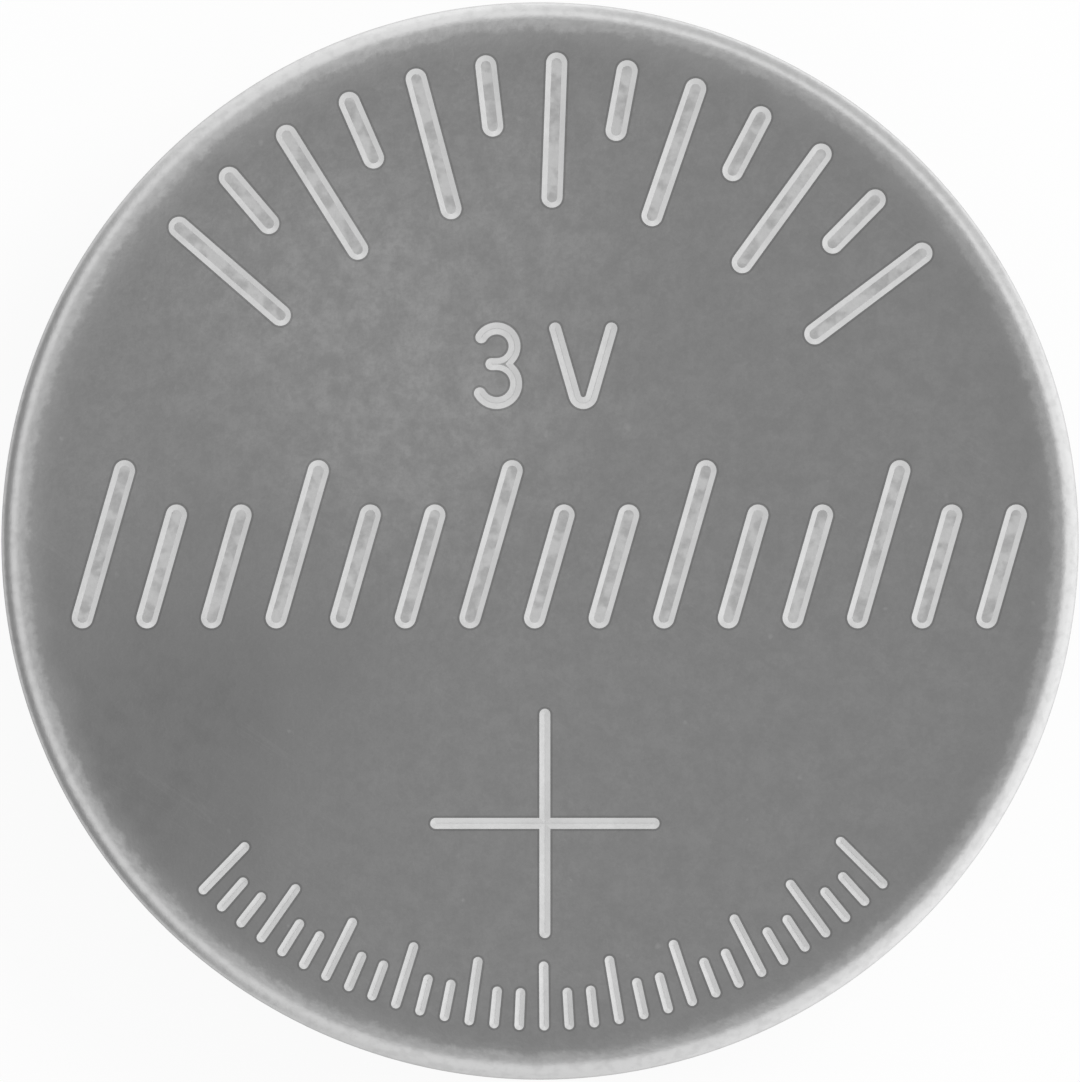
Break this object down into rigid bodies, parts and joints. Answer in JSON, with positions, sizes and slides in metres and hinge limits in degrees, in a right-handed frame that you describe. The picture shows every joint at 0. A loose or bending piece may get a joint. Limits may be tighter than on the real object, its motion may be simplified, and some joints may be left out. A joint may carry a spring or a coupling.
{
  "type": "lithium coin cell",
  "caption": "Flat round coin cell: crimped steel can, stepped cap and sealing ring around a lithium disc, separator, pressed cathode pellet and collector grid.",
  "frame": {"origin": "on the cell's axis, at the negative contact face, which the cell stands on", "axes": "+Z along the cell's axis from the negative contact to the positive face; +X to the right and +Y up in a straight-down view of the positive face, with its polarity sign below the middle"},
  "size_m": [0.02, 0.02, 0.0025],
  "materials": {
    "can_steel": "nickel-plated steel, matt and finely grained, with a bright rounded rim",
    "gasket_polymer": "moulded polypropylene, natural and slightly milky",
    "cap_steel": "nickel-plated steel, satin",
    "lithium_metal": "soft bare lithium, dull silver",
    "separator_fleece": "white non-woven polypropylene fleece",
    "cathode_mix": "pressed black manganese dioxide and graphite, dull and granular",
    "grid_steel": "thin bare stainless steel, satin"
  },
  "bodies": {
    "root": {"positive_can": "can_steel", "gasket": "gasket_polymer", "negative_cap": "cap_steel", "lithium_disc": "lithium_metal", "separator": "separator_fleece", "cathode_pellet": "cathode_mix", "cathode_grid": "grid_steel"}
  },
  "joints": []
}
